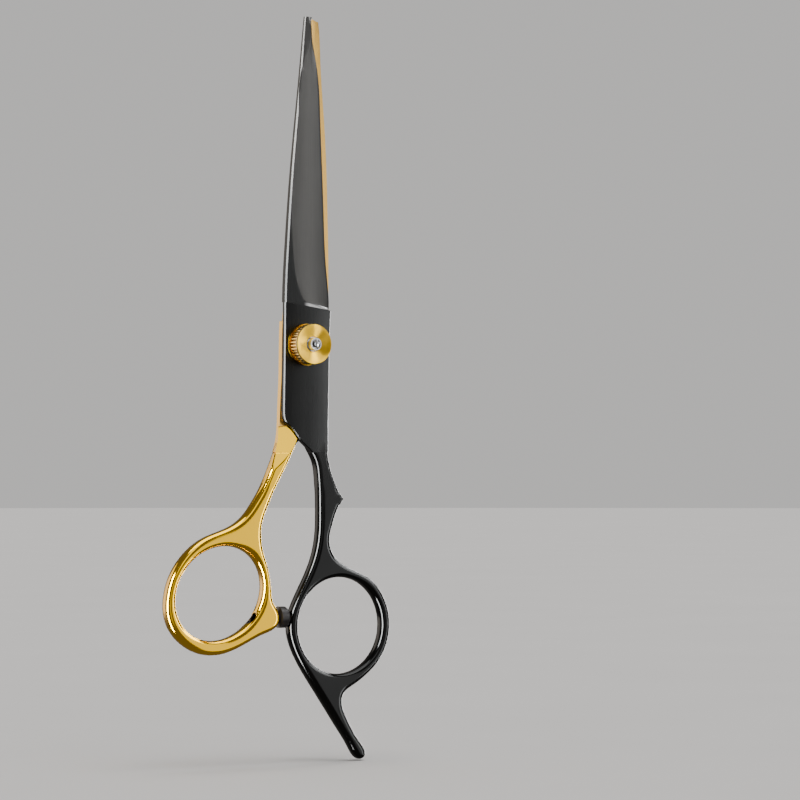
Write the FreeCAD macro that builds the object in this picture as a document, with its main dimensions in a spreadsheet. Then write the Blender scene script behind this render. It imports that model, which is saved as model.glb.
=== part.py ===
"""Hair cutting shears: two crossed halves on an adjustable pivot, as a parametric FreeCAD document.

Millimetres. Z runs up the closed blades to the tips, X is across them and Y runs from front to back.
The origin is on the pivot axis, halfway between the two blades. The tension dial is on the front (-Y).
"""
import FreeCAD, Part
import math
import os
import Sketcher

doc = FreeCAD.newDocument("hair_cutting_shears")

# ---------------------------------------------------------------- driving dimensions
sheet = doc.addObject("Spreadsheet::Sheet", "dims")
DIMENSIONS = {
    # both halves
    "blade_reach": 77.3,
    "ride_gap": 0.05,
    "blade_thick": 1.78,
    "hollow_grind": 0.1,
    "edge_thick": 0.22,
    "spine_chamfer": 0.3,
    "dome_radius": 60,
    "outer_bevel": 0.22,
    "inner_bevel": 0.35,
    "grind_end": 9.9,
    "grind_ramp": 0.8,
    "grind_slope": 0.14,
    "handle_half": 1.65,
    "handle_round": 1,
    "weld_height": -25.2,
    "facet_wheel": 46,
    "ledge_height": -19.15,
    # finger ring and tang of the front half
    "ring_x": 9.85,
    "ring_z": -65.9,
    "ring_hole": 11.35,
    "ring_outer": 13.85,
    # thumb ring of the rear half
    "thumb_x": -22.3,
    "thumb_z": -57.75,
    "thumb_long": 11.9,
    "thumb_short": 10.25,
    "thumb_tilt": 36,
    # pivot
    "seat_radius": 5,
    "seat_face": -1.6,
    "bush_outer": 3,
    "bush_bore": 2.22,
    "bolt_radius": 2.2,
    "bolt_head": 4.1,
    "bolt_back": 1.6,
    "bolt_seat": 4.3,
    "key_half": 1.6,
    "thread_radius": 1.5,
    "washer_radius": 4.7,
    "washer_face": -1.85,
    "plate_radius": 4.8,
    "plate_back": -1.87,
    "plate_face": -2.55,
    "race_floor": -2.35,
    "dial_back": -2.85,
    "dial_bore": 1.53,
    "dial_recess": 2.85,
    "dial_face": -5.8,
    "dial_radius": 4.75,
    "dial_teeth": 38,
    "tooth_depth": 0.32,
    "gem_well": 1.85,
    "bezel_radius": 1.55,
    "bezel_face": -6.6,
    "crystal_radius": 1.18,
    "crystal_face": -7,
    "spacer_radius": 4,
    "spacer_front": -0.13,
    "spacer_back": 0.2,
    "detent_radius": 3.3,
    "ball_radius": 0.5,
    "pocket_radius": 0.53,
    "click_count": 24,
    # silencer between the rings
    "bumper_z": -63.6,
    "bumper_radius": 2.5,
    "stem_radius": 1.1,
    "nub_end": -6.45,
}
for row, (alias, size) in enumerate(DIMENSIONS.items(), start=1):
    sheet.set(f"A{row}", alias)
    sheet.set(f"B{row}", str(size))
    sheet.setAlias(f"B{row}", alias)
doc.recompute()


def dim(alias):
    """The value of one cell of the sheet."""
    return float(sheet.get(alias))


def vec(x, y, z):
    return FreeCAD.Vector(x, y, z)


FRONT = vec(0, -1, 0)
BACK = vec(0, 1, 0)
parts = []


def keep(feature, label):
    """Name a finished sub-part; its label is its file's name."""
    feature.Label = label
    parts.append(feature)
    return feature


# ---------------------------------------------------------------- flat outlines in the XZ plane
def curve(points, closed=False):
    """A smooth curve through (x, z) points."""
    line = Part.BSplineCurve()
    line.interpolate([vec(x, 0, z) for x, z in points], PeriodicFlag=closed)
    return line.toShape()


def polyline(points):
    """Straight edges through (x, z) points."""
    corners = [vec(x, 0, z) for x, z in points]
    return [Part.LineSegment(a, b).toShape() for a, b in zip(corners, corners[1:])]


def slab(edges, y_low, y_high):
    """The closed outline as a plate between two depths."""
    face = Part.Face(Part.Wire(Part.__sortEdges__(edges)))
    face.translate(vec(0, y_low, 0))
    return face.extrude(vec(0, y_high - y_low, 0))


def ring_point(centre, radius, degrees):
    turn = math.radians(degrees)
    return centre[0] + radius * math.cos(turn), centre[1] + radius * math.sin(turn)


def rounded(plate, radius):
    """The plate with its front and back edges rounded over."""
    rims = [edge for edge in plate.Edges if edge.BoundBox.YLength < 1e-4]
    return plate.makeFillet(radius, rims)


def drilled(solid, radius, x, z):
    """The solid with a round hole from front to back."""
    return solid.cut(Part.makeCylinder(radius, 20, vec(x, -10, z), BACK))


def box(x_low, x_high, y_low, y_high, z_low, z_high):
    size = (x_high - x_low, y_high - y_low, z_high - z_low)
    return Part.makeBox(*size, vec(x_low, y_low, z_low))


# ---------------------------------------------------------------- blades
def grind_level(height, x):
    """Height across a section; sections drop towards the edge as the end of the grind does."""
    return height - dim("grind_slope") * x


def blade_section(height, spine, edge, thick, flat_end):
    """One cross-section of a blade: spine wall, flat, ground face down to the edge, hollow inner face.

    Sections are drawn for the front blade, whose inner face looks back (+Y).
    """
    def corner(x, y):
        return vec(x, y, grind_level(height, x))

    inner = -dim("ride_gap")
    outer = -thick
    chamfer = min(dim("spine_chamfer"), thick / 4)
    lip = -dim("edge_thick")
    crown = (outer + lip) / 2 + 0.16 * (outer - lip)
    back_corner = corner(spine, inner)
    wall_top = corner(spine, outer + chamfer)
    flat_start = corner(spine + chamfer, outer)
    flat_stop = corner(flat_end, outer)
    lip_corner = corner(edge, lip)
    edge_corner = corner(edge, inner)
    ground_middle = corner((flat_end + edge) / 2, crown)
    hollow_middle = corner((spine + edge) / 2, inner - dim("hollow_grind"))
    return Part.Wire([
        Part.LineSegment(back_corner, wall_top).toShape(),
        Part.LineSegment(wall_top, flat_start).toShape(),
        Part.LineSegment(flat_start, flat_stop).toShape(),
        Part.Arc(flat_stop, ground_middle, lip_corner).toShape(),
        Part.LineSegment(lip_corner, edge_corner).toShape(),
        Part.Arc(edge_corner, hollow_middle, back_corner).toShape(),
    ])


def ground_blade(stations, ramp_edge):
    """The ground length of a blade, with the short ramp that the grinding wheel leaves below it."""
    sections = [blade_section(*station) for station in stations]
    blade = Part.makeLoft(sections, True, False)
    height, spine, edge, thick, flat_end = stations[0]
    low = blade_section(height - dim("grind_ramp"), spine, ramp_edge, thick, ramp_edge - 0.2)
    ramp = Part.makeLoft([low, sections[0]], True, True)
    above_tip = box(-12, 12, -5, 5, dim("blade_reach"), 90)
    return blade.fuse(ramp).cut(above_tip)


def domed(plate, x_middle):
    """The plate under a wide dome, so that its outer face is gently crowned."""
    radius = dim("dome_radius")
    centre = vec(x_middle, radius - dim("blade_thick"), -60)
    return plate.common(Part.makeCylinder(radius, 140, centre, vec(0, 0, 1)))


def outer_rim_broken(plate):
    """The plate with the long edges of its outer face chamfered."""
    rim = [edge for edge in plate.Edges if edge.BoundBox.ZLength > 5 and edge.BoundBox.YMax < -1.3]
    return plate.makeChamfer(dim("outer_bevel"), rim)


def inner_spine_broken(plate):
    """The plate with the inner edge on its spine side chamfered."""
    inner = [edge for edge in plate.Edges if edge.BoundBox.ZLength > 5
             and edge.BoundBox.YMin > -0.1 and edge.CenterOfMass.x < -5]
    return plate.makeChamfer(dim("inner_bevel"), inner)


def body_top(stations):
    """Left and right end points of the line where the flat body of a half meets its ground blade."""
    height, spine, edge = stations[0][:3]
    level = height - dim("grind_ramp")
    return (spine, grind_level(level, spine)), (edge, grind_level(level, edge))


# Height, spine, cutting edge, thickness at the spine, end of the flat beside the spine
FRONT_STATIONS = [
    (dim("grind_end"), -5.43, 7.15, 1.72, 0.2),
    (13, -5.35, 7.08, 1.72, -1.7),
    (20, -4.97, 6.35, 1.68, -3.1),
    (29, -4.35, 5.85, 1.58, -3.7),
    (40, -3.45, 5.45, 1.42, -3),
    (53, -2.12, 4.87, 1.22, -1.7),
    (66, -0.75, 3.9, 1.02, -0.4),
    (78, 0.45, 2.55, 0.8, 0.82),
]
REAR_STATIONS = [
    (7, -7.25, 5.2, 1.72, -0.9),
    (13, -7.25, 4.75, 1.72, -3.3),
    (20, -7.2, 4.2, 1.68, -4.6),
    (29, -7.0, 3.5, 1.58, -5.8),
    (40, -6.7, 2.5, 1.42, -6),
    (53, -5.95, 1.3, 1.22, -5.5),
    (66, -5, 0, 1.02, -4.6),
    (78, -3.95, -1.2, 0.8, -3.6),
]


def turned_over(solid):
    """Turn a front piece half round the Z axis, which makes it a rear piece."""
    return solid.rotated(vec(0, 0, 0), vec(0, 0, 1), 180)


def front_half():
    """Front blade, shank, finger ring and tang, before it is parted at the weld."""
    gap = dim("ride_gap")
    half = dim("handle_half")
    weld = dim("weld_height")
    top_left, top_right = body_top(FRONT_STATIONS)
    left = curve([top_left, (-5.5, 0), (-5.62, -8), (-5.7, -15.3)])
    nest = curve([(-5.7, -15.3), (-5.6, -16.9), (-5.15, -18.1), (-4.1, -19), (-2.95, -20.2), (-1.5, -22.15),
                  (0, -23.5), (1.9, weld)])
    right = curve([(6.4, weld), (6.4, -20), (6.6, -8), (6.75, 0), top_right])
    foot = polyline([(1.9, weld), (6.4, weld)])
    top = polyline([top_right, top_left])
    body = domed(slab([left, nest, *foot, right, *top], -2.5, -gap), 0.5)
    body = inner_spine_broken(outer_rim_broken(body))

    ring = (dim("ring_x"), dim("ring_z"))
    outer = dim("ring_outer")
    tang_end = (15.55, -96.15)
    outline = [(0.5, -11), (3.6, -10.3), (5.7, -13), (6.1, -18), (6.15, -22), (6.7, -27), (7.7, -31),
               (8.3, -36), (7.9, -41), (7.1, -45.5), (7.9, -48.8), (10.6, -51.3), (14.8, -53.3)]
    outline += [ring_point(ring, outer, angle) for angle in (52, 35, 18, 0, -18, -36, -52)]
    outline += [(13.2, -80.3), (10.9, -82), (10.5, -84), (12.0, -88), (14.6, -92.3)]
    outline += [ring_point(tang_end, 1.5, angle) for angle in (35, -10, -55, -100, -145)]
    outline += [(12.6, -94.4), (9.8, -90.3), (6.4, -85.4), (2.9, -80.4), (-0.1, -76), (-2.6, -71.5)]
    outline += [ring_point(ring, outer, angle) for angle in (185, 172)]
    outline += [(-2.4, -60), (0.1, -55.3), (2.4, -50.4), (3.7, -45), (3.95, -38), (3.7, -31), (2.9, -27),
                (1.3, -24.1), (0.1, -21), (-0.6, -15)]
    plate = slab([curve(outline, closed=True)], -half, half)
    handle = rounded(drilled(plate, dim("ring_hole"), *ring), dim("handle_round"))

    above_tip = curve([(6.0, -26.5), (7.35, -30), (9.0, -33.6), (10.65, -36.1)])
    below_tip = curve([(10.65, -36.1), (9.1, -38.6), (7.9, -41.7), (6.6, -46)])
    root = polyline([(6.6, -46), (5.4, -40), (5.4, -30), (6.0, -26.5)])
    spur = rounded(slab([above_tip, below_tip, *root], -half, half), 0.6)
    handle = handle.fuse(spur)
    # The back of the shank starts below the rear blade, with a slanted step like a bolster
    step = [(-12, 12), (-12, -23.8), (0.6, -23.8), (2, -22.7), (3.6, -20.6), (4.8, -19.25), (12, -19.25),
            (12, 12), (-12, 12)]
    handle = handle.cut(slab(polyline(step), -gap, 6))
    # Above the nest line the front is the blade's own domed face
    handle = handle.cut(box(-12, 12, -6, -gap, -23, 12))
    return ground_blade(FRONT_STATIONS, 7).fuse([body, handle])


def rear_half():
    """Rear blade, bolster, shank and thumb ring, before it is parted at the weld."""
    gap = dim("ride_gap")
    half = dim("handle_half")
    weld = dim("weld_height")
    top_left, top_right = body_top(REAR_STATIONS)
    left = curve([top_left, (-6.9, 0), (-6.5, -8), (-6.3, -15.3)])
    nest = curve([(-6.3, -15.3), (-6.2, -16.8), (-5.7, -18), (-4.6, -19), (-3, -20.4), (-0.9, -21.6),
                  (1.4, -22.9), (3, weld)])
    right = curve([(7.3, weld), (6.35, -22), (5.85, -15), (5.5, -8), (5.38, 0), top_right])
    foot = polyline([(3, weld), (7.3, weld)])
    top = polyline([top_right, top_left])
    body = slab([left, nest, *foot, right, *top], -2.5, -gap)
    body = turned_over(outer_rim_broken(domed(body, -0.5)))

    outline = [ring_point((-3.8, -12), 2.2, angle) for angle in (90, 135, 180)]
    outline += [(-6.05, -17), (-6.4, -22), (-7.3, -25), (-8.6, -28.2), (-10.6, -32.5),
               (-13.2, -36.6), (-15.8, -39.9), (-18.8, -42.1), (-22, -43.4), (-25.2, -44.5), (-28.3, -46.1),
               (-31, -48.3), (-33.3, -51), (-35.1, -54.3), (-36.1, -58), (-36.3, -61), (-35.5, -64.6),
               (-33.5, -67.7), (-30.4, -70.2), (-26.6, -71.7), (-22.5, -71.9), (-18.5, -70.9), (-14.4, -69.1),
               (-11, -67.6), (-8.3, -66.6), (-6.75, -65.2), (-6.45, -63.3), (-7.05, -61.6), (-8.1, -60),
               (-8.5, -57.6), (-8.85, -54.8), (-9.5, -51.9), (-10.5, -48.9), (-11.2, -45.6), (-11.1, -42.2),
               (-10.0, -38.9), (-8.5, -35.6), (-6.9, -32.2), (-5.4, -29.6), (-4.0, -27), (-2.75, -24.6),
               (-1.85, -22.4), (-1.65, -18), (-1.6, -12), ring_point((-3.8, -12), 2.2, 45)]
    plate = slab([curve(outline, closed=True)], -half, half)
    hole = Part.Ellipse(vec(0, 0, 0), dim("thumb_long"), dim("thumb_short")).toShape()
    hole = Part.Face(Part.Wire([hole])).extrude(vec(0, 0, 20))
    hole.rotate(vec(0, 0, 0), vec(0, 0, 1), dim("thumb_tilt"))
    hole.rotate(vec(0, 0, 0), vec(1, 0, 0), 90)
    hole.translate(vec(dim("thumb_x"), 10, dim("thumb_z")))
    handle = rounded(plate.cut(hole), dim("handle_round"))
    # The bolster starts below the front blade's nest line
    ledge = dim("ledge_height")
    nest_cut = curve([(-4.2, ledge), (-3.15, -20.25), (-1.75, -22.6), (-0.4, -23.9)])
    room = polyline([(-0.4, -23.9), (12, -23.9), (12, 12), (-9, 12), (-9, ledge), (-4.2, ledge)])
    handle = handle.cut(slab([nest_cut, *room], -6, gap))
    handle = handle.cut(box(-12, 12, gap, 6, -23, 12))
    # Long polished facet on the front left of the bolster, as a grinding wheel leaves it under the ledge
    normal = vec(-0.351, -0.913, 0.213).normalize()
    across = normal.cross(vec(-0.25, -0.13, -0.96)).normalize()
    wheel = dim("facet_wheel")
    touch = vec(-4.5, -0.4, -21.5)
    facet = Part.makeCylinder(wheel, 60, touch + normal * wheel - across * 30, across)
    facet = facet.common(box(-20, 20, -20, 20, -60, ledge))
    handle = handle.cut(facet)
    body = body.cut(facet)
    # Socket for the stem of the silencer, through the nub into the ring
    socket = Part.makeCylinder(dim("stem_radius"), 9, vec(-14.5, 0, dim("bumper_z")), vec(1, 0, 0))
    handle = handle.cut(socket)
    # The tip is cut off at a slant
    slant = polyline([(-9, 75.4), (-3.95, 76.4), (-0.6, 77.9), (-9, 77.9), (-9, 75.4)])
    blade = ground_blade(REAR_STATIONS, 5.25).cut(slab(slant, -5, 5))
    return turned_over(blade).fuse([body, handle])


def below(solid, height):
    return solid.common(box(-60, 60, -10, 10, -120, height))


def above(solid, height):
    return solid.common(box(-60, 60, -10, 10, height, 120))


def shape_node(label, shape):
    feature = doc.addObject("Part::Feature", label)
    feature.Shape = shape
    return keep(feature, label)


def one_solid(shape):
    """The single solid of a boolean result, with leftover seams taken out."""
    solid = max(shape.Solids, key=lambda piece: piece.Volume)
    return solid.removeSplitter()


front = front_half()
rear = rear_half()
weld = dim("weld_height")

front_blade = above(front, weld)
seat = Part.makeCylinder(dim("seat_radius"), 5, vec(0, dim("seat_face"), 0), FRONT)
recess = Part.makeCylinder(dim("spacer_radius") + 0.1, 1, vec(0, dim("spacer_front") - 0.02, 0), BACK)
front_blade = drilled(front_blade.cut([seat, recess]), dim("bush_outer"), 0, 0)
shape_node("front_blade", one_solid(front_blade))
shape_node("front_handle", one_solid(below(front, weld)))

rear_blade = above(rear, weld)
seat = Part.makeCylinder(dim("bolt_seat"), 5, vec(0, dim("bolt_back"), 0), BACK)
recess = Part.makeCylinder(dim("spacer_radius") + 0.1, 1, vec(0, dim("spacer_back"), 0), FRONT)
rear_blade = drilled(rear_blade.cut([seat, recess]), dim("bolt_radius"), 0, 0)
shape_node("rear_blade", one_solid(rear_blade))
shape_node("rear_handle", one_solid(below(rear, weld)))

# ---------------------------------------------------------------- turned pieces of the pivot
def plane_of(body, role):
    """One of a body's own origin planes."""
    return next(feature for feature in body.Origin.OriginFeatures if feature.Role == role)


def new_body(label):
    body = doc.addObject("PartDesign::Body", label)
    return keep(body, label)


def new_sketch(body, name, role):
    sketch = body.newObject("Sketcher::SketchObject", name)
    sketch.AttachmentSupport = (plane_of(body, role), "")
    sketch.MapMode = "FlatFace"
    return sketch


def place(sketch, kind, index, point, size):
    """Fix one coordinate of a vertex, by a number or by an expression on the sheet."""
    if isinstance(size, str):
        value = dim(size)
        number = sketch.addConstraint(Sketcher.Constraint(kind, -1, 1, index, point, value))
        sketch.setExpression(f"Constraints[{number}]", f"dims.{size}")
    elif size:
        sketch.addConstraint(Sketcher.Constraint(kind, -1, 1, index, point, size))
    else:
        axis = -2 if kind == "DistanceX" else -1
        sketch.addConstraint(Sketcher.Constraint("PointOnObject", index, point, axis))


def number_of(size):
    return dim(size) if isinstance(size, str) else size


def polygon(sketch, corners):
    """A closed polygon whose corners are numbers or aliases of the sheet."""
    points = [vec(number_of(a), number_of(b), 0) for a, b in corners]
    count = len(points)
    for index in range(count):
        sketch.addGeometry(Part.LineSegment(points[index], points[(index + 1) % count]), False)
    for index in range(count):
        sketch.addConstraint(Sketcher.Constraint("Coincident", index, 2, (index + 1) % count, 1))
    for index, (a, b) in enumerate(corners):
        place(sketch, "DistanceX", index, 1, a)
        place(sketch, "DistanceY", index, 1, b)


def turned(label, corners):
    """A piece turned about the pivot axis from its half profile of (radius, depth) corners."""
    body = new_body(label)
    sketch = new_sketch(body, f"{label}_profile", "XY_Plane")
    polygon(sketch, corners)
    revolution = body.newObject("PartDesign::Revolution", f"{label}_turn")
    revolution.Profile = (sketch, [""])
    revolution.ReferenceAxis = (sketch, ["V_Axis"])
    revolution.Angle = 360
    sketch.Visibility = False
    doc.recompute()
    return body


def ring(label, inner, outer, front_face, back_face):
    return turned(label, [(inner, front_face), (outer, front_face), (outer, back_face), (inner, back_face)])


def cut_box(body, name, corner, size):
    """Cut a box out of a body; both corner and size are plain numbers."""
    cutter = body.newObject("PartDesign::SubtractiveBox", name)
    cutter.Length, cutter.Width, cutter.Height = size
    cutter.Placement = FreeCAD.Placement(vec(*corner), FreeCAD.Rotation())
    return cutter


def repeated(body, feature, count_alias):
    """Repeat a feature evenly round the pivot axis."""
    pattern = body.newObject("PartDesign::PolarPattern", f"{feature.Name}_round")
    pattern.Originals = [feature]
    pattern.Axis = (plane_of(body, "Y_Axis"), [""])
    pattern.Angle = 360
    pattern.setExpression("Occurrences", f"dims.{count_alias}")
    body.Tip = pattern
    doc.recompute()
    return pattern


# Bolt from behind: low head, plain journal, two flats that key the click plate, threaded nose
bolt = turned("pivot_bolt", [
    (0, -3.6), (0.82, -3.6), (0.82, -4.9), (1.35, -4.9), ("thread_radius", -4.75),
    ("thread_radius", "plate_face"), ("bolt_radius", "plate_face"), ("bolt_radius", "bolt_back"),
    ("bolt_head", "bolt_back"), ("bolt_head", 2.25), (3.6, 2.58), (1.4, 2.66), (0, 2.66),
])
key = dim("key_half")
key_depth = dim("plate_back") - dim("plate_face")
for side, x in (("left", -key - 2), ("right", key)):
    cut_box(bolt, f"flat_{side}", (x, dim("plate_face"), -3), (2, key_depth, 6))
ring("pivot_bushing", "bush_bore", "bush_outer", "seat_face", -0.16)
ring("blade_washer", "bolt_radius", "spacer_radius", "spacer_front", "spacer_back")
ring("base_washer", "bush_bore", "washer_radius", "washer_face", "seat_face")

# Click plate: flange under the dial, with a ball race and a ring of detent dimples on its front
click_plate = turned("click_plate", [
    (0, "plate_face"), (2.75, "plate_face"), (2.85, "race_floor"), (3.75, "race_floor"), (3.85, "plate_face"),
    (4.85, "plate_face"), ("plate_radius", -2.4), ("plate_radius", -2.05), (4.85, "plate_back"),
    (0, "plate_back"),
])
keyway = new_sketch(click_plate, "keyway", "XZ_Plane")
reach = math.sqrt(dim("bolt_radius") ** 2 - key ** 2)
corner = math.atan2(reach, key)
for start in (corner, corner + math.pi):
    circle = Part.Circle(vec(0, 0, 0), vec(0, 0, 1), dim("bolt_radius"))
    keyway.addGeometry(Part.ArcOfCircle(circle, start, start + math.pi - 2 * corner), False)
for x in (-key, key):
    keyway.addGeometry(Part.LineSegment(vec(x, -reach, 0), vec(x, reach, 0)), False)
pocket = click_plate.newObject("PartDesign::Pocket", "keyed_hole")
pocket.Profile = keyway
pocket.Type = "ThroughAll"
pocket.Midplane = True
doc.recompute()
dimple = click_plate.newObject("PartDesign::SubtractiveCylinder", "dimple")
dimple.Radius = 0.28
dimple.Height = 0.12
dimple.Placement = FreeCAD.Placement(vec(dim("detent_radius"), dim("race_floor"), 0),
                                     FreeCAD.Rotation(vec(1, 0, 0), -90))
repeated(click_plate, dimple, "click_count")

# Disc spring in the hollow back of the dial
turned("disc_spring", [(1.75, -2.57), (2.7, -2.93), (2.7, -3.05), (1.75, -2.69)])

# Tension dial: dished face, knurled rim, central well for the retaining screw, two ball pockets behind
dial = turned("tension_dial", [
    ("dial_bore", -3.08), ("dial_recess", -3.08), ("dial_recess", "dial_back"), (4.5, "dial_back"),
    ("dial_radius", -3.05), ("dial_radius", -5.48), (4.62, "dial_face"), (4.42, "dial_face"),
    ("gem_well", -5.28), ("gem_well", -4.5), ("dial_bore", -4.5),
])
tooth = dial.newObject("PartDesign::SubtractiveBox", "tooth_gap")
tooth.Length = 1
tooth.Width = 2.32
tooth.Height = 1
tooth.Placement = FreeCAD.Placement(vec(dim("dial_radius") - dim("tooth_depth"), -5.38, 0),
                                    FreeCAD.Rotation(vec(0, 1, 0), 45))
repeated(dial, tooth, "dial_teeth")
for side, sign in (("left", -1), ("right", 1)):
    socket = dial.newObject("PartDesign::SubtractiveCylinder", f"ball_pocket_{side}")
    socket.setExpression("Radius", "dims.pocket_radius")
    socket.Height = 1.55
    socket.Placement = FreeCAD.Placement(vec(sign * dim("detent_radius"), dim("dial_back"), 0),
                                         FreeCAD.Rotation(vec(1, 0, 0), 90))
doc.recompute()

ball_depth = dim("race_floor") - dim("ball_radius") - 0.02
balls = [Part.makeSphere(dim("ball_radius"), vec(sign * dim("detent_radius"), ball_depth, 0))
         for sign in (-1, 1)]
shape_node("detent_balls", Part.makeCompound(balls))


def coil_spring(x, low, length):
    """A small compression spring that presses a ball out of the dial."""
    helix = Part.makeHelix(length / 4, length, 0.38)
    wire = Part.Wire([Part.Circle(vec(0.38, 0, 0), vec(0, 1, 0), 0.07).toShape()])
    coil = Part.Wire(helix).makePipeShell([wire], True, True)
    coil.rotate(vec(0, 0, 0), vec(1, 0, 0), 90)
    coil.translate(vec(x, low, 0))
    return coil


springs = [coil_spring(sign * dim("detent_radius"), -3.47, 0.82) for sign in (-1, 1)]
shape_node("detent_springs", Part.makeCompound(springs))

# Retaining screw in the bolt's nose, with the bezel and its crystal on its head
turned("retaining_screw", [(0, -5.3), (1.7, -5.3), (1.7, -4.92), (0.8, -4.92), (0.8, -3.65), (0, -3.65)])
turned("bezel", [
    ("crystal_radius", -5.32), ("bezel_radius", -5.32), ("bezel_radius", -5.9), (1.42, "bezel_face"),
    (1.25, "bezel_face"), ("crystal_radius", -5.95),
])


def facet_ring(radius, depth, count, turn):
    """A regular polygon in the plane at this depth, as a closed wire."""
    steps = [math.radians(turn + 360 * index / count) for index in range(count + 1)]
    return Part.makePolygon([vec(radius * math.cos(a), depth, radius * math.sin(a)) for a in steps])


# Brilliant cut: straight girdle, eight crown facets and a flat table
girdle = dim("crystal_radius") * math.cos(math.pi / 16) - 0.01
crown = Part.makeLoft([facet_ring(girdle, -5.34, 16, 0), facet_ring(girdle, -6.08, 16, 0)], True, True)
table = Part.makeLoft([facet_ring(girdle, -6.08, 16, 0), facet_ring(0.66, dim("crystal_face"), 16, 11.25)],
                      True, True)
shape_node("crystal", crown.fuse(table).removeSplitter())

# Silencer: rubber button on a stem pressed into the thumb ring's nub, turned about its own Y axis
stem = dim("stem_radius")
button = turned("silencer", [
    (0, -11.2), (0.75, -11.2), ("stem_radius", -10.9), ("stem_radius", "nub_end"),
    ("bumper_radius", "nub_end"), ("bumper_radius", -4.75), (2.1, -4.25), (1.2, -4.0), (0, -3.95),
])
button.Placement = FreeCAD.Placement(vec(0, 0, dim("bumper_z")), FreeCAD.Rotation(vec(0, 0, 1), -90))

# ---------------------------------------------------------------- check and write
doc.recompute()
os.makedirs("parts", exist_ok=True)
for thing in doc.Objects:
    if "Invalid" in thing.State or "Error" in thing.State:
        raise RuntimeError(f"{thing.Label} did not recompute: {thing.State}")
for feature in parts:
    shape = feature.Shape
    if shape.isNull() or not shape.isValid():
        raise RuntimeError(f"{feature.Label} has no valid shape")
    shape.exportStep(f"parts/{feature.Label}.step")
    limits = shape.BoundBox
    print(f"{feature.Label:18s} solids {len(shape.Solids)} volume {shape.Volume:9.2f} mm3 "
          f"z {limits.ZMin:7.2f} to {limits.ZMax:7.2f}")
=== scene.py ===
# %% [markdown]
# # Hair cutting shears: looks for the finished frame
#
# The two halves and the pivot hardware come in as one fixed frame. This script gives them their
# finishes: a black coated half with a satin ground blade, and a gold half with mirror-polished
# handles. It ends with the studio: floor, soft lights and the camera.

# %% Load the frame
import bmesh
import bpy
import math
from mathutils import Matrix, Vector


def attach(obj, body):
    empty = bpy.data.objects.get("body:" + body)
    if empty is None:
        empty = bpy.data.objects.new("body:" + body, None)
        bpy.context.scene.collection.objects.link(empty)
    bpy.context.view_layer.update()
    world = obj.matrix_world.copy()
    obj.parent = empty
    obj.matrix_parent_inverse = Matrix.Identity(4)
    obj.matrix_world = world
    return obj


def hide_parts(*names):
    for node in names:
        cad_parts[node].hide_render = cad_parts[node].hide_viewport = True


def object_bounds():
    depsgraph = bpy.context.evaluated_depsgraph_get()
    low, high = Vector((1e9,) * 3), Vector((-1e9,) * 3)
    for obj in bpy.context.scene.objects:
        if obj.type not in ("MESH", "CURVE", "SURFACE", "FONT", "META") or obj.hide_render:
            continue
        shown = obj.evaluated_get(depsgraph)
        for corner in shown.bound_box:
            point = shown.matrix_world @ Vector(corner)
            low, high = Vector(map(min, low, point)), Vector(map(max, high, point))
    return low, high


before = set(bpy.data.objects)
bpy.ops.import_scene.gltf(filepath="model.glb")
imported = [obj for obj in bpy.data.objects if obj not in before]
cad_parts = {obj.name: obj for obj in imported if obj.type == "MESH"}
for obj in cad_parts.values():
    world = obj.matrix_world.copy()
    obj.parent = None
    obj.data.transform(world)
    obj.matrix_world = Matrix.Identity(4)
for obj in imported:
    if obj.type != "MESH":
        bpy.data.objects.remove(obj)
cad_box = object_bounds()
print("CAD box:", cad_box)

# %% [markdown]
# ## Turning facets into polished skins
#
# A frame node is a heap of loose triangles, so a mirror finish on it shows every facet. A copy
# whose doubled points are merged can be shaded smooth, with only the true corners kept sharp.
# One could remodel each handle by hand, but a merged copy keeps the exact outline of the metal.

# %% Merged copies
MERGE_DISTANCE = 1e-6
CORNER_ANGLE = math.radians(24)


def polished_skin(node, name, body, corner_angle=CORNER_ANGLE):
    """A merged, smooth-shaded copy of a frame node that stands for it."""
    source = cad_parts[node]
    skin = bpy.data.objects.new(name, source.data.copy())
    bpy.context.scene.collection.objects.link(skin)
    skin.data.materials.clear()
    shape = bmesh.new()
    shape.from_mesh(skin.data)
    bmesh.ops.remove_doubles(shape, verts=shape.verts, dist=MERGE_DISTANCE)
    bmesh.ops.dissolve_degenerate(shape, edges=shape.edges, dist=MERGE_DISTANCE)
    bmesh.ops.recalc_face_normals(shape, faces=shape.faces)
    for face in shape.faces:
        face.smooth = True
    for edge in shape.edges:
        edge.smooth = edge.is_manifold and edge.calc_face_angle(0) < corner_angle
    shape.to_mesh(skin.data)
    shape.free()
    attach(skin, body)
    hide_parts(node)
    print(name, "faces", len(skin.data.polygons))
    return skin


# %% [markdown]
# Long thin triangles pull a smooth normal towards themselves. The Weighted Normal modifier weighs
# each face by its area, which keeps the flats flat right up to their rounded borders.

# %% Flat faces stay flat
def weigh_normals(skin):
    modifier = skin.modifiers.new("flats_stay_flat", "WEIGHTED_NORMAL")
    modifier.mode = "FACE_AREA"
    modifier.weight = 80
    modifier.keep_sharp = True


# %% [markdown]
# Each half is a blade welded to a handle, so it has two skins that ride on one body. Of the four,
# only the blades get weighted normals: the handles are rounded next and have no flats to keep.

# %% The two halves
front_blade = polished_skin("front_blade", "front_blade_skin", "front_half")
front_handle = polished_skin("front_handle", "front_handle_skin", "front_half")
rear_blade = polished_skin("rear_blade", "rear_blade_skin", "rear_half")
rear_handle = polished_skin("rear_handle", "rear_handle_skin", "rear_half")
for skin in (front_blade, rear_blade):
    weigh_normals(skin)

# %% [markdown]
# ## Buffing the handles round
#
# The shanks and rings are rounded all over by the buffing wheel, which no fixed fillet gives. The
# surface is first remade in small even cells, then relaxed pass by pass, as the wheel would do it.
# The bolster and the point of the spur are left out, because they are ground, not buffed.

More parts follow.
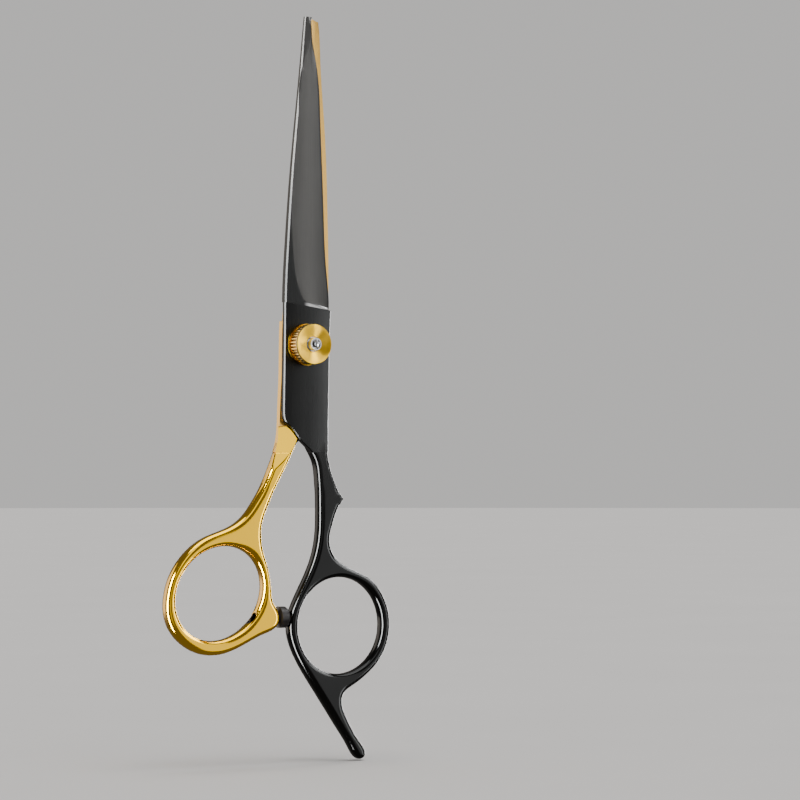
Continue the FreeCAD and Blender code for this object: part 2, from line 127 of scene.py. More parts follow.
# %% Buffed handles
CELL = 0.0002
BUFF_PASSES = 36
BUFF_ADVANCE = 0.00006
BOLSTER_END = -0.0325
SPUR_TIP = (0.0106, -0.0361)
SPUR_RADIUS = 0.0016
ALL_AXES = {"use_axis_x": True, "use_axis_y": True, "use_axis_z": True}


def near_spur(vert, spur):
    return spur is not None and math.hypot(vert.co.x - spur[0], vert.co.z - spur[1]) <= SPUR_RADIUS


def buffed(skin, spur=None):
    """Remake a handle in even cells and relax it; each pass comes a little nearer to the bolster."""
    remake = skin.modifiers.new("even_cells", "REMESH")
    remake.mode = "VOXEL"
    remake.voxel_size = CELL
    graph = bpy.context.evaluated_depsgraph_get()
    even = bpy.data.meshes.new_from_object(skin.evaluated_get(graph))
    skin.modifiers.clear()
    shape = bmesh.new()
    shape.from_mesh(even)
    for buff_pass in range(BUFF_PASSES):
        top = BOLSTER_END - BUFF_ADVANCE * (BUFF_PASSES - buff_pass)
        soft = [vert for vert in shape.verts if vert.co.z < top and not near_spur(vert, spur)]
        bmesh.ops.smooth_vert(shape, verts=soft, factor=0.5, **ALL_AXES)
    for face in shape.faces:
        face.smooth = True
    shape.to_mesh(skin.data)
    shape.free()
    bpy.data.meshes.remove(even)
    print(skin.name, "buffed faces", len(skin.data.polygons))


buffed(front_handle, SPUR_TIP)
buffed(rear_handle)

# %% [markdown]
# The dial's teeth meet at shallow angles, so it takes a smaller corner angle than the rest;
# otherwise the shading would melt neighbouring teeth into one another.

# %% The dial and the parts that show at the pivot
TOOTH_ANGLE = math.radians(12)
dial = polished_skin("tension_dial", "tension_dial_skin", "dial", TOOTH_ANGLE)
bezel = polished_skin("bezel", "bezel_skin", "rear_half")
silencer = polished_skin("silencer", "silencer_skin", "rear_half")
bolt = polished_skin("pivot_bolt", "pivot_bolt_skin", "rear_half")
flange = polished_skin("click_plate", "click_plate_skin", "rear_half")
for skin in (bezel, silencer, bolt, flange):
    weigh_normals(skin)


# %% [markdown]
# ## Small tools for building finishes
#
# Every finish is a graph of nodes around one Principled BSDF. Two helpers keep the graphs short:
# one starts a metal, the other adds a node with its settings and links in a single call.

# %% Node helpers
def finish(name, **sockets):
    """A new material and its Principled BSDF with some of its own sockets set."""
    material = bpy.data.materials.new(name)
    material.use_nodes = True
    shader = material.node_tree.nodes["Principled BSDF"]
    for socket, value in sockets.items():
        shader.inputs[socket.replace("_", " ")].default_value = value
    return material, material.node_tree, shader


def node(tree, kind, links=(), values=(), **settings):
    """One node; links and values are dicts keyed by input name or number."""
    made = tree.nodes.new(kind)
    for setting, value in settings.items():
        setattr(made, setting, value)
    for key, value in dict(values).items():
        made.inputs[key].default_value = value
    for key, socket in dict(links).items():
        tree.links.new(socket, made.inputs[key])
    return made


# %% [markdown]
# Masks are arithmetic on coordinates, and an effect that several materials share is a node group.
# Both would take many lines to write out each time, so each has its helper too.

# %% Arithmetic and groups
def math_node(tree, operation, first, second):
    """One Math node; each argument is a number or a socket."""
    made = tree.nodes.new("ShaderNodeMath")
    made.operation = operation
    for slot_number, value in enumerate((first, second)):
        if isinstance(value, (int, float)):
            made.inputs[slot_number].default_value = value
        else:
            tree.links.new(value, made.inputs[slot_number])
    return made.outputs[0]


def new_group(name, inputs, outputs):
    """A shader node group with named float or vector inputs and float outputs."""
    tree = bpy.data.node_groups.new(name, "ShaderNodeTree")
    for label, value in inputs.items():
        kind = "NodeSocketVector" if isinstance(value, tuple) else "NodeSocketFloat"
        tree.interface.new_socket(label, in_out="INPUT", socket_type=kind).default_value = value
    for label in outputs:
        tree.interface.new_socket(label, in_out="OUTPUT", socket_type="NodeSocketFloat")
    return tree, tree.nodes.new("NodeGroupInput"), tree.nodes.new("NodeGroupOutput")


# %% [markdown]
# ## Lines left by the grinding belt
#
# Satin metal is a field of very fine parallel scratches. They are noise stretched a hundredfold
# along the stroke, read from Object coordinates so that they stay put when the shears open.
# The group gives a value that varies the roughness and a height for the bump.

# %% Grind lines group
def build_grind_lines():
    tree, inlet, outlet = new_group(
        "grind_lines",
        {"Stretch": (1.0, 1.0, 1.0), "Smooth": 0.25, "Rough": 0.4, "Depth": 0.3},
        ("Roughness", "Height", "Lines"))
    place = node(tree, "ShaderNodeTexCoord")
    stretched = node(tree, "ShaderNodeVectorMath", operation="MULTIPLY",
                     links={0: place.outputs["Object"], 1: inlet.outputs["Stretch"]})
    fine = node(tree, "ShaderNodeTexNoise", links={"Vector": stretched.outputs[0]},
                values={"Scale": 1.0, "Detail": 3.0, "Roughness": 0.65})
    broad = node(tree, "ShaderNodeTexNoise", links={"Vector": place.outputs["Object"]},
                 values={"Scale": 90.0, "Detail": 2.0, "Roughness": 0.5})
    mixed = math_node(tree, "ADD", math_node(tree, "MULTIPLY", fine.outputs["Fac"], 0.7),
                      math_node(tree, "MULTIPLY", broad.outputs["Fac"], 0.3))
    rough = node(tree, "ShaderNodeMapRange",
                 links={"Value": mixed, "To Min": inlet.outputs["Smooth"], "To Max": inlet.outputs["Rough"]},
                 values={"From Min": 0.3, "From Max": 0.7})
    height = math_node(tree, "MULTIPLY", fine.outputs["Fac"], inlet.outputs["Depth"])
    tree.links.new(rough.outputs[0], outlet.inputs["Roughness"])
    tree.links.new(height, outlet.inputs["Height"])
    tree.links.new(fine.outputs["Fac"], outlet.inputs["Lines"])
    return tree


grind_lines = build_grind_lines()
print(grind_lines.name, "nodes", len(grind_lines.nodes))

# %% [markdown]
# ## Marks of handling
#
# Polished metal is never equally clean. Soft clouds from fingers and a scatter of hairline
# scratches both change the gloss a little, so this group puts out only a roughness and a height.

# %% Handling marks group
def build_handling_marks():
    tree, inlet, outlet = new_group("handling_marks", {"Smooth": 0.08, "Rough": 0.16, "Scratches": 0.4},
                                    ("Roughness", "Height", "Clouds"))
    place = node(tree, "ShaderNodeTexCoord")
    clouds = node(tree, "ShaderNodeTexNoise", links={"Vector": place.outputs["Object"]},
                  values={"Scale": 70.0, "Detail": 4.0, "Roughness": 0.6, "Distortion": 0.6})
    hair = node(tree, "ShaderNodeMapping", links={"Vector": place.outputs["Object"]},
                values={"Rotation": (0.3, 0.7, 0.2), "Scale": (2600.0, 1500.0, 160.0)})
    scratches = node(tree, "ShaderNodeTexNoise", links={"Vector": hair.outputs[0]},
                     values={"Scale": 1.0, "Detail": 2.0, "Roughness": 0.5})
    sharp = node(tree, "ShaderNodeMapRange", links={"Value": scratches.outputs["Fac"]},
                 values={"From Min": 0.62, "From Max": 0.74})
    base = node(tree, "ShaderNodeMapRange",
                links={"Value": clouds.outputs["Fac"], "To Min": inlet.outputs["Smooth"],
                       "To Max": inlet.outputs["Rough"]},
                values={"From Min": 0.3, "From Max": 0.7})
    scratch_gloss = math_node(tree, "MULTIPLY", sharp.outputs[0],
                              math_node(tree, "MULTIPLY", inlet.outputs["Scratches"], 0.08))
    tree.links.new(math_node(tree, "ADD", base.outputs[0], scratch_gloss), outlet.inputs["Roughness"])
    tree.links.new(math_node(tree, "MULTIPLY", sharp.outputs[0], inlet.outputs["Scratches"]),
                   outlet.inputs["Height"])
    tree.links.new(clouds.outputs["Fac"], outlet.inputs["Clouds"])
    return tree


handling_marks = build_handling_marks()
print(handling_marks.name, "nodes", len(handling_marks.nodes))


# %% [markdown]
# A real finish is a blend: two tones of one plating, or a polished and a brushed gloss. The Mix
# node does both, but its sockets are numbered differently for values and for colours, so one
# helper looks the numbers up.

# %% Blending two values or two colours
MIX_SOCKETS = {"FLOAT": (2, 3, 0), "RGBA": (6, 7, 2)}


def blend(tree, kind, factor, first, second):
    """The blend of two values or colours; each is a socket, or a plain colour of three numbers."""
    mix = node(tree, "ShaderNodeMix", data_type=kind, links={0: factor})
    *inputs, output = MIX_SOCKETS[kind]
    for socket, value in zip(inputs, (first, second)):
        if isinstance(value, tuple):
            mix.inputs[socket].default_value = (*value, 1)
        else:
            tree.links.new(value, mix.inputs[socket])
    return mix.outputs[output]


# %% [markdown]
# Both groups are placed in many materials, so these helpers put a group in, set its inputs, and
# wire colour, roughness and a shallow bump into the shader. The bump is only a hundredth of a
# millimetre deep: enough to break up a reflection, too shallow to see as a groove.

# %% Wiring a finish
FINE_BUMP = 0.00001


def tint(tree, shader, factor, dark, light):
    """Vary the base colour between two tones."""
    tree.links.new(blend(tree, "RGBA", factor, dark, light), shader.inputs["Base Color"])


def emboss(tree, shader, height, strength=0.3, distance=FINE_BUMP):
    """Turn a height into the direction that the shader sees."""
    bump = node(tree, "ShaderNodeBump", links={"Height": height},
                values={"Strength": strength, "Distance": distance})
    tree.links.new(bump.outputs[0], shader.inputs["Normal"])


def surface(tree, shader, group, distance, **values):
    """Place a group, feed roughness and bump into the shader, and return the group's node."""
    placed = node(tree, "ShaderNodeGroup", node_tree=group, values=values)
    tree.links.new(placed.outputs["Roughness"], shader.inputs["Roughness"])
    emboss(tree, shader, placed.outputs["Height"], 0.35, distance)
    return placed


# %% [markdown]
# ## Where a finish begins and ends
#
# One half carries several finishes without any joint between them: ground, crowned, polished.
# Masks from Object coordinates mark them. The border of the ground face is a curve drawn on the
# blade, so a Float Curve gives its place across the blade for every height.

# %% Masks on the halves
BLADE_TIP = 0.078
GRIND_END = 0.0099
GRIND_SLOPE = 0.14
STEP_HEIGHT = 0.0008
CURVE_SPAN = 0.02
BORDER_SOFTNESS = 0.00006


def soft_step(tree, value, low, high):
    """0 below low, 1 above high, and a smooth rise between."""
    step_highlight = node(tree, "ShaderNodeMapRange", interpolation_type="SMOOTHSTEP", links={"Value": value},
                values={"From Min": low, "From Max": high})
    return step_highlight.outputs[0]


def object_axes(tree):
    place = node(tree, "ShaderNodeTexCoord")
    return node(tree, "ShaderNodeSeparateXYZ", links={0: place.outputs["Object"]}).outputs


def axis_distance(tree, across, along):
    """How far a point lies from an axis, from its two coordinates beside that axis."""
    flat = node(tree, "ShaderNodeCombineXYZ", links={"X": across, "Y": along})
    return node(tree, "ShaderNodeVectorMath", operation="LENGTH", links={0: flat.outputs[0]}).outputs["Value"]


def ground_mask(tree, axes, border):
    """1 right of a curve given as (height, place across) in metres; the curve's 0 to 1 is CURVE_SPAN."""
    along = node(tree, "ShaderNodeMapRange", links={"Value": axes["Z"]},
                 values={"From Min": 0.0, "From Max": BLADE_TIP})
    curve = node(tree, "ShaderNodeFloatCurve", links={"Value": along.outputs[0]})
    line = curve.mapping.curves[0]
    for height, across in border:
        line.points.new(height / BLADE_TIP, 0.5 + across / CURVE_SPAN)
    line.points[0].location = (0, 0.5 + border[0][1] / CURVE_SPAN)
    line.points[-1].location = (1, 0.5 + border[-1][1] / CURVE_SPAN)
    curve.mapping.update()
    centred = math_node(tree, "SUBTRACT", curve.outputs[0], 0.5)
    across = math_node(tree, "MULTIPLY", centred, CURVE_SPAN)
    beyond = math_node(tree, "SUBTRACT", axes["X"], across)
    return soft_step(tree, beyond, -BORDER_SOFTNESS, BORDER_SOFTNESS)


# %% [markdown]
# ## The black half
#
# Thin dark coating over steel. The crowned body is finely satin and turns glossier down the
# shank until the rings are like dark glass; the ground face is drier, with lines along the blade,
# and the step where the grinding wheel stopped has a painted highlight: a light grey base colour
# that stands in for the light the step catches.

# %% Where the black blade is ground
FRONT_BORDER = ((0.0099, 0.0002), (0.0106, -0.0005), (0.013, -0.0017), (0.0164, -0.0027),
                (0.0265, -0.0036), (0.036, -0.0037), (0.05, -0.0034), (0.077, -0.003))
INNER_FACE = -0.0003
# The painted highlight on the step rises from none to full between these places across the blade.
STEP_HIGHLIGHT_FADE = (-0.0006, 0.0012)


def ground_and_step_highlight(tree, axes):
    """Masks of the ground face and of the painted highlight on the step below it, both on the outer side
    only.
    """
    level = math_node(tree, "ADD", axes["Z"], math_node(tree, "MULTIPLY", axes["X"], GRIND_SLOPE))
    above_step = soft_step(tree, level, GRIND_END - 0.0002, GRIND_END + 0.0001)
    border = ground_mask(tree, axes, FRONT_BORDER)
    inner = soft_step(tree, axes["Y"], INNER_FACE - 0.0001, INNER_FACE)
    outer_side = math_node(tree, "SUBTRACT", 1.0, inner)
    ground = math_node(tree, "MULTIPLY", math_node(tree, "MULTIPLY", above_step, border), outer_side)
    step_foot = GRIND_END - STEP_HEIGHT
    above_foot = soft_step(tree, level, step_foot, step_foot + 0.0002)
    in_step = math_node(tree, "SUBTRACT", above_foot, above_step)
    right_of_flat = soft_step(tree, axes["X"], *STEP_HIGHLIGHT_FADE)
    # Mask of the painted highlight on the step.
    step_highlight = math_node(tree, "MULTIPLY", math_node(tree, "MULTIPLY", in_step, right_of_flat), outer_side)
    return ground, step_highlight


# %% [markdown]
# The material lays the finishes over one another in the order in which they are made, coating
# then ground face, and puts a painted highlight on the step last: a light grey colour in place of
# the light that the step catches. Each blend takes what lies below and the next layer, with that
# layer's mask as the factor, so a layer can be changed without touching the rest.

# %% Black finish
SATIN_FADE = (-0.05, -0.02)
BLACK_TONES = ((0.019, 0.0195, 0.0195), (0.028, 0.0285, 0.0285))
GROUND_TONES = ((0.030, 0.0295, 0.0285), (0.046, 0.0455, 0.044))
# Painted highlight: this light grey stands in for the light that the step catches; it is not a bright finish.
STEP_HIGHLIGHT_TONE = (0.42, 0.42, 0.42)


def black_finish():
    material, tree, shader = finish("black_coating", Metallic=1.0)
    axes = object_axes(tree)
    lines = node(tree, "ShaderNodeGroup", node_tree=grind_lines,
                 values={"Stretch": (5200.0, 5200.0, 55.0), "Smooth": 0.25, "Rough": 0.34, "Depth": 0.5})
    marks = node(tree, "ShaderNodeGroup", node_tree=handling_marks,
                 values={"Smooth": 0.1, "Rough": 0.16, "Scratches": 0.3})
    ground, step_highlight = ground_and_step_highlight(tree, axes)
    coated = blend(tree, "RGBA", marks.outputs["Clouds"], *BLACK_TONES)
    ground_tone = blend(tree, "RGBA", lines.outputs["Lines"], *GROUND_TONES)
    with_ground = blend(tree, "RGBA", ground, coated, ground_tone)
    # The painted highlight on the step goes on top.
    with_step_highlight = blend(tree, "RGBA", step_highlight, with_ground, STEP_HIGHLIGHT_TONE)
    tree.links.new(with_step_highlight, shader.inputs["Base Color"])
    satin = soft_step(tree, axes["Z"], *SATIN_FADE)
    gloss = blend(tree, "FLOAT", satin, marks.outputs["Roughness"], lines.outputs["Roughness"])
    drier = math_node(tree, "ADD", gloss, math_node(tree, "MULTIPLY", ground, 0.06))
    tree.links.new(drier, shader.inputs["Roughness"])
    emboss(tree, shader, blend(tree, "FLOAT", satin, marks.outputs["Height"], lines.outputs["Height"]))
    return material


black = black_finish()
print(black.name, "nodes", len(black.node_tree.nodes))
front_blade.data.materials.append(black)
front_handle.data.materials.append(black)


# %% [markdown]
# ## The gold half
#
# The gold is one plated layer: satin on the blade and on the narrow side walls that face left,
# mirror-polished on the bolster facet and on the faces of the handle. The mask for the side walls
# reads the surface's own direction, which moves with the piece; the walls it takes are the ones
# that catch the light, and their paler tone is partly painted sheen. The socket bored for the
# silencer's stem is painted near-black, a painted shade inside the bore; its mask is the distance
# from the bore's axis.

# %% Where the gold is brushed or bare
LEDGE_HEIGHT = -0.01915
SOCKET_HEIGHT = -0.0636
SOCKET_REACH = 0.0013
SOCKET_MIDDLE = -0.0125
SOCKET_HALF_LENGTH = 0.004
# Only the walls that face left, where the light falls, get the paler brushed tone: partly painted sheen.
LIT_WALL_FACING = (0.86, 0.94)


def outside_socket(tree, axes):
    """0 inside the bore for the silencer's stem, 1 everywhere else."""
    from_middle = math_node(tree, "ABSOLUTE", math_node(tree, "SUBTRACT", axes["X"], SOCKET_MIDDLE), 0.0)
    beyond_ends = soft_step(tree, from_middle, SOCKET_HALF_LENGTH, SOCKET_HALF_LENGTH + 0.0001)
    reach = axis_distance(tree, axes["Y"], math_node(tree, "SUBTRACT", axes["Z"], SOCKET_HEIGHT))
    around_bore = soft_step(tree, reach, SOCKET_REACH - 0.0001, SOCKET_REACH)
    return math_node(tree, "MAXIMUM", beyond_ends, around_bore)


def brushed_areas_and_lit_walls(tree, axes):
    """1 on the blade above the ledge and on the walls that face left, the side that catches the light."""
    place = node(tree, "ShaderNodeTexCoord")
    facing = node(tree, "ShaderNodeSeparateXYZ", links={0: place.outputs["Normal"]})
    lit_side_wall = soft_step(tree, math_node(tree, "MULTIPLY", facing.outputs["X"], -1.0), *LIT_WALL_FACING)
    blade = soft_step(tree, axes["Z"], LEDGE_HEIGHT - 0.0001, LEDGE_HEIGHT + 0.0001)
    return math_node(tree, "MAXIMUM", blade, lit_side_wall)


# %% [markdown]
# Polished and brushed gold differ in gloss, in lines and a little in tone: the brushed tone is
# painted paler, a painted sheen for the light that brushed metal scatters. One mask drives all
# three, which keeps their borders together.

# %% Gold finish
POLISHED_TONES = ((0.84, 0.48, 0.008), (0.92, 0.56, 0.015))
# The brushed tones are painted paler: real brushed lines, with painted sheen in the paler base.
BRUSHED_SHEEN_TONES = ((0.76, 0.46, 0.11), (0.80, 0.49, 0.13))
# Painted shade: this near-black stands in for the shade inside the bore; it is not bare metal.
SOCKET_SHADE_TONE = (0.012, 0.009, 0.007)


def gold_finish():
    material, tree, shader = finish("gold_plating", Metallic=1.0)
    axes = object_axes(tree)
    lines = node(tree, "ShaderNodeGroup", node_tree=grind_lines,
                 values={"Stretch": (9500.0, 9500.0, 90.0), "Smooth": 0.25, "Rough": 0.32, "Depth": 0.4})
    marks = node(tree, "ShaderNodeGroup", node_tree=handling_marks,
                 values={"Smooth": 0.07, "Rough": 0.13, "Scratches": 0.3})
    satin = brushed_areas_and_lit_walls(tree, axes)
    polished = blend(tree, "RGBA", marks.outputs["Clouds"], *POLISHED_TONES)
    brushed_sheen = blend(tree, "RGBA", lines.outputs["Lines"], *BRUSHED_SHEEN_TONES)
    plated = blend(tree, "RGBA", satin, polished, brushed_sheen)
    # The socket gets its painted shade.
    with_socket_shade = blend(tree, "RGBA", outside_socket(tree, axes), SOCKET_SHADE_TONE, plated)
    tree.links.new(with_socket_shade, shader.inputs["Base Color"])
    gloss = blend(tree, "FLOAT", satin, marks.outputs["Roughness"], lines.outputs["Roughness"])
    tree.links.new(gloss, shader.inputs["Roughness"])
    emboss(tree, shader, blend(tree, "FLOAT", satin, marks.outputs["Height"], lines.outputs["Height"]))
    return material


gold = gold_finish()
print(gold.name, "nodes", len(gold.node_tree.nodes))
rear_handle.data.materials.append(gold)
rear_blade.data.materials.append(gold)


# %% [markdown]
# The bolt's head, the flange under the dial and the back of the dial are polished gold all over.
# They could share the plating of the handles, but they need none of its masks, so they get a
# shorter material with the same marks of handling.

# %% Polished gold for the pivot
def polished_gold():
    material, tree, shader = finish("polished_gold_plating", Metallic=1.0)
    placed = surface(tree, shader, handling_marks, FINE_BUMP, Smooth=0.12, Rough=0.2, Scratches=0.3)
    tint(tree, shader, placed.outputs["Clouds"], (0.78, 0.44, 0.01), (0.88, 0.53, 0.02))
    return material


# %% [markdown]
# ## The tension dial
#
# Its dished face was turned on a lathe, so its lines are circles, and light gathers in fans
# across them. An anisotropic highlight with a tangent around the axis gives those fans; rings of
# noise, read from the distance to the axis, give the fine turning marks.

# %% Turned gold finish
RINGS_PER_METRE = 9000.0


def turned_gold():
    material, tree, shader = finish("turned_gold", Metallic=1.0, Anisotropic=0.97)
    axes = object_axes(tree)
    reach = axis_distance(tree, axes["X"], axes["Z"])
    rings = node(tree, "ShaderNodeTexNoise", noise_dimensions="1D",
                 links={"W": math_node(tree, "MULTIPLY", reach, RINGS_PER_METRE)},
                 values={"Scale": 1.0, "Detail": 2.0})
    tint(tree, shader, rings.outputs["Fac"], (0.78, 0.46, 0.02), (0.90, 0.57, 0.04))
    rough = node(tree, "ShaderNodeMapRange", links={"Value": rings.outputs["Fac"]},
                 values={"From Min": 0.3, "From Max": 0.7, "To Min": 0.38, "To Max": 0.44})
    tree.links.new(rough.outputs[0], shader.inputs["Roughness"])
    emboss(tree, shader, rings.outputs["Fac"])
    around = node(tree, "ShaderNodeTangent", direction_type="RADIAL", axis="Y")
    tree.links.new(around.outputs[0], shader.inputs["Tangent"])
    return material


# %% [markdown]
# The rim is cut into teeth. The colour follows the distance from the axis: painted shade darkens
# the grooves and a painted highlight brightens the tips.

# %% Knurled gold finish
DIAL_RADIUS = 0.00475
TOOTH_DEPTH = 0.00032


def knurled_gold():
    material, tree, shader = finish("knurled_gold", Metallic=1.0)
    surface(tree, shader, handling_marks, FINE_BUMP, Smooth=0.16, Rough=0.26, Scratches=0.4)
    axes = object_axes(tree)
    reach = axis_distance(tree, axes["X"], axes["Z"])
    groove_shade_tip_highlight = soft_step(tree, reach, DIAL_RADIUS - TOOTH_DEPTH, DIAL_RADIUS - 0.00004)
    # Painted shade in the grooves, painted highlight on the tooth tips.
    tint(tree, shader, groove_shade_tip_highlight, (0.16, 0.08, 0.02), (0.92, 0.66, 0.24))
    return material


# %% [markdown]
# The dial carries all three golds: its dished front is turned, its toothed rim is knurled and the
# rest is polished. One material with masks could do this too, but a slot for each finish is easier
# to change, and each face can pick its slot by where it lies and which way it faces.

# %% Golds on the dial
WELL_RADIUS = 0.0018
DISH_BACK = -0.0045
POLISHED, TURNED, KNURLED = range(3)
buffed_gold = polished_gold()
for material in (buffed_gold, turned_gold(), knurled_gold()):
    dial.data.materials.append(material)
for face in dial.data.polygons:
    reach = math.hypot(face.center.x, face.center.z)
    if face.normal.y < -0.85 and face.center.y < DISH_BACK and reach > WELL_RADIUS:
        face.material_index = TURNED
    elif abs(face.normal.y) < 0.5 and reach > DIAL_RADIUS - 1.1 * TOOTH_DEPTH:
        face.material_index = KNURLED
counts = [sum(face.material_index == slot_number for face in dial.data.polygons)
          for slot_number in (POLISHED, TURNED, KNURLED)]
print("dial faces polished, turned, knurled:", counts)
bolt.data.materials.append(buffed_gold)
flange.data.materials.append(buffed_gold)


# %% [markdown]
# ## Steel, bronze and nylon of the pivot
#
# The screw, springs and balls are bare steel, the bushing is bronze and the washers are nylon.
# Most of them hide between the blades, but they show when the pivot is looked at closely.

# %% Pivot finishes
def plain_metal(name, dark, light, smooth, rough):
    material, tree, shader = finish(name, Metallic=1.0)
    placed = surface(tree, shader, handling_marks, FINE_BUMP, Smooth=smooth, Rough=rough, Scratches=0.5)
    tint(tree, shader, placed.outputs["Clouds"], dark, light)
    return material


def nylon_finish():
    material, tree, shader = finish("white_nylon", Metallic=0.0)
    placed = surface(tree, shader, handling_marks, 0.00002, Smooth=0.42, Rough=0.55, Scratches=0.3)
    tint(tree, shader, placed.outputs["Clouds"], (0.72, 0.71, 0.67), (0.82, 0.81, 0.78))
    return material


def rubber_finish():
    material, tree, shader = finish("smoky_rubber", Metallic=0.0, Transmission_Weight=0.35, IOR=1.45)
    placed = surface(tree, shader, handling_marks, 0.00003, Smooth=0.28, Rough=0.42, Scratches=0.2)
    tint(tree, shader, placed.outputs["Clouds"], (0.016, 0.014, 0.014), (0.035, 0.03, 0.029))
    return material


steel = plain_metal("bright_steel", (0.62, 0.63, 0.65), (0.74, 0.75, 0.77), 0.1, 0.2)
spring_steel = plain_metal("spring_steel", (0.45, 0.45, 0.47), (0.56, 0.56, 0.58), 0.22, 0.34)
bronze = plain_metal("bearing_bronze", (0.62, 0.42, 0.22), (0.72, 0.5, 0.28), 0.25, 0.38)
nylon = nylon_finish()
bezel.data.materials.append(steel)
silencer.data.materials.append(rubber_finish())


# %% [markdown]
# ## The crystal
#
# A small cut stone sits in the steel bezel. Its facets must stay flat, so the frame's own mesh is
# kept and only gets a clear material; a trace of tint in the colour stops it looking like water.

# %% Crystal finish
def crystal_finish():
    material, tree, shader = finish("cut_crystal", Metallic=0.0, Transmission_Weight=1.0, IOR=1.9)
    placed = node(tree, "ShaderNodeGroup", node_tree=handling_marks,
                  values={"Smooth": 0.0, "Rough": 0.02, "Scratches": 0.1})
    tree.links.new(placed.outputs["Roughness"], shader.inputs["Roughness"])
    tint(tree, shader, placed.outputs["Clouds"], (0.93, 0.95, 0.97), (1.0, 1.0, 1.0))
    return material


def refinish(name, material):
    """Give a frame node another material in each of its slots."""
    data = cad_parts[name].data
    for slot_number in range(len(data.materials)):
        data.materials[slot_number] = material
    if not data.materials:
        data.materials.append(material)


PIVOT_METALS = {
    "pivot_bushing": bronze,
    "blade_washer": nylon,
    "base_washer": steel,
    "disc_spring": spring_steel,
    "detent_balls": steel,
    "detent_springs": spring_steel,
    "retaining_screw": steel,
}
refinish("crystal", crystal_finish())
for name, material in PIVOT_METALS.items():
    refinish(name, material)
print("refinished in place:", 1 + len(PIVOT_METALS), "pieces")


# %% [markdown]
# ## The studio
#
# Metal shows what it reflects, so the studio is built for its reflections. The floor is pale and
# plain, but the metal doesn't mirror it: a dark surround below keeps the dark coating dark and lets
# the lights reach the underside of the rings.

# %% Floor
def pale_floor(height, radius):
    material, tree, shader = finish("pale_floor", Metallic=0.0, Roughness=0.9, Specular_IOR_Level=0.0)
    place = node(tree, "ShaderNodeTexCoord")
    mottle = node(tree, "ShaderNodeTexNoise", links={"Vector": place.outputs["Object"]},
                  values={"Scale": 14.0, "Detail": 4.0})
    tint(tree, shader, mottle.outputs["Fac"], (0.62, 0.61, 0.6), (0.66, 0.65, 0.64))
    disc = bmesh.new()
    bmesh.ops.create_circle(disc, cap_ends=True, segments=96, radius=radius,
                            matrix=Matrix.Translation((0, 0, height)))
    mesh = bpy.data.meshes.new("studio_floor")
    disc.to_mesh(mesh)
    disc.free()
    floor = bpy.data.objects.new("studio_floor", mesh)
    mesh.materials.append(material)
    bpy.context.scene.collection.objects.link(floor)
    floor.visible_glossy = False


FLOOR_HEIGHT = cad_box[0][2] - 0.0002
pale_floor(FLOOR_HEIGHT, 6.0)
print("floor at", round(FLOOR_HEIGHT, 5))


# %% [markdown]
# The softboxes are placed by mirror angle: each stands where one kind of surface sends the
# camera's gaze. The tall strip on the left draws the bright line along every left-hand fillet, and
# a small lamp high on the right makes the fans on the dial.

# %% Softboxes
def softbox(name, azimuth, elevation, distance, width, height, power, colour=(1, 1, 1)):
    """An area light that faces the shears; azimuth 0 is the front, positive to the right."""
    turn, lift = math.radians(azimuth), math.radians(elevation)
    towards = Vector((math.sin(turn) * math.cos(lift), -math.cos(turn) * math.cos(lift), math.sin(lift)))
    spot = towards * distance
    lamp = bpy.data.lights.new(name, "AREA")
    lamp.shape = "RECTANGLE"
    lamp.size, lamp.size_y = width, height
    lamp.energy = power
    lamp.color = colour
    box = bpy.data.objects.new(name, lamp)
    box.location = spot
    box.rotation_euler = (-spot).to_track_quat("-Z", "Y").to_euler()
    box.visible_camera = False
    box.visible_diffuse = False
    bpy.context.scene.collection.objects.link(box)
    print(name, "at", tuple(round(value, 3) for value in spot))


softbox("left_strip", azimuth=-69, elevation=-8, distance=1.0, width=0.48, height=1.8, power=148)
softbox("front_wide", azimuth=35, elevation=4, distance=1.2, width=0.5, height=1.2, power=2.3)
softbox("front_band", azimuth=46, elevation=4, distance=1.15, width=0.1, height=1.0, power=4)
softbox("facet_light", azimuth=-9, elevation=36, distance=1.2, width=0.4, height=0.9, power=1.9)
softbox("front_fill", azimuth=0, elevation=-2, distance=1.2, width=0.34, height=0.6, power=0.4)
softbox("warm_side", azimuth=-146, elevation=8, distance=1.2, width=0.6, height=1.0,
        power=3.5, colour=(1.0, 0.9, 0.8))
softbox("fan_light", azimuth=70, elevation=26, distance=1.1, width=0.4, height=0.4, power=8)
softbox("rim_strip", azimuth=122, elevation=6, distance=1.0, width=0.14, height=1.0, power=10)


# %% [markdown]
# The softboxes are seen only in the metal. The floor gets its own light from a very wide sun, whose
# shadow is as soft as under a cloudy sky.

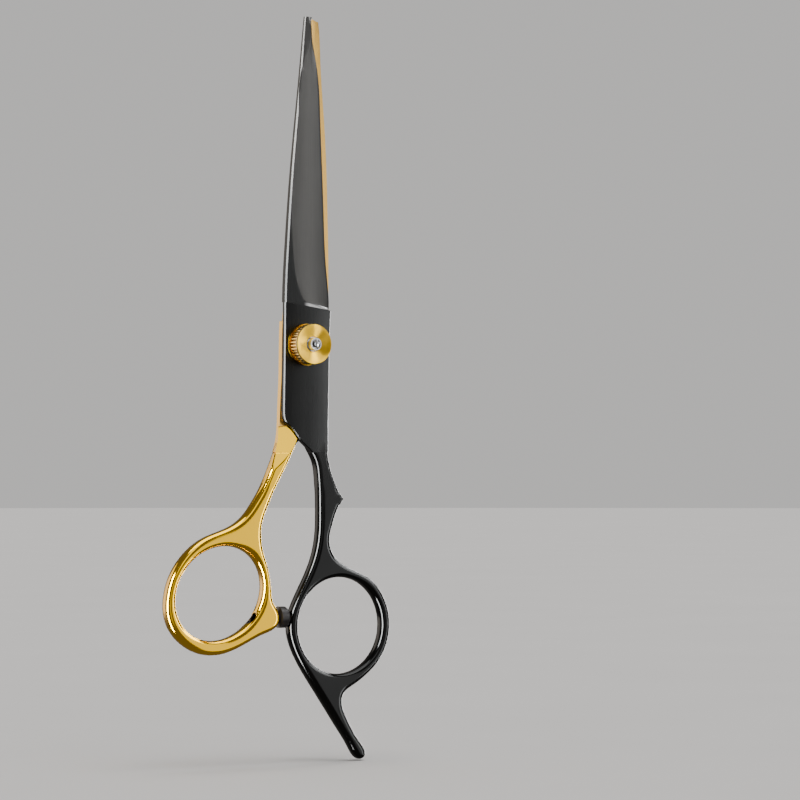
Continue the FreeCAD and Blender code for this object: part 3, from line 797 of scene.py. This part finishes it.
# %% Sky light for the floor
overhead = bpy.data.lights.new("overhead", "SUN")
overhead.energy = 3.1
overhead.angle = math.radians(60)
overhead_lamp = bpy.data.objects.new("overhead", overhead)
overhead_lamp.rotation_euler = (math.radians(8), math.radians(6), 0)
bpy.context.scene.collection.objects.link(overhead_lamp)
print("overhead light energy", overhead.energy)


# %% [markdown]
# The world is two plain tones: the backdrop that the camera sees, and the dim room that the metal
# reflects. Light Path picks between them.

# %% World
world = bpy.data.worlds.new("studio")
bpy.context.scene.world = world
world.use_nodes = True
sky = world.node_tree
sky.nodes.clear()
backdrop = node(sky, "ShaderNodeBackground", values={"Color": (0.62, 0.61, 0.6, 1), "Strength": 0.9})
room = node(sky, "ShaderNodeBackground", values={"Color": (0.5, 0.46, 0.43, 1), "Strength": 0.34})
rays = node(sky, "ShaderNodeLightPath")
chosen = node(sky, "ShaderNodeMixShader",
              links={0: rays.outputs["Is Camera Ray"], 1: room.outputs[0], 2: backdrop.outputs[0]})
node(sky, "ShaderNodeOutputWorld", links={0: chosen.outputs[0]})
print("world nodes", len(sky.nodes))

# %% [markdown]
# ## The camera
#
# The shears are seen a third of the way round to their left and from just below the middle, with
# a long lens that keeps both rings in proportion.

# %% Camera
VIEW_AZIMUTH = math.radians(-32)
VIEW_ELEVATION = math.radians(-1.5)
VIEW_DISTANCE = 0.7
VIEW_OFFSET = (0.0230, -0.0129)
lens = bpy.data.cameras.new("studio_camera")
lens.lens = 134.3
lens.sensor_width = 36
camera = bpy.data.objects.new("studio_camera", lens)
to_right = Vector((math.cos(VIEW_AZIMUTH), math.sin(VIEW_AZIMUTH), 0))
to_camera = Vector((math.sin(VIEW_AZIMUTH) * math.cos(VIEW_ELEVATION),
                    -math.cos(VIEW_AZIMUTH) * math.cos(VIEW_ELEVATION), math.sin(VIEW_ELEVATION)))
upward = to_camera.cross(to_right)
camera.location = to_right * VIEW_OFFSET[0] + upward * VIEW_OFFSET[1] + to_camera * VIEW_DISTANCE
camera.rotation_euler = to_camera.to_track_quat("Z", "Y").to_euler()
bpy.context.scene.collection.objects.link(camera)
bpy.context.scene.camera = camera
print("camera at", tuple(round(value, 4) for value in camera.location))
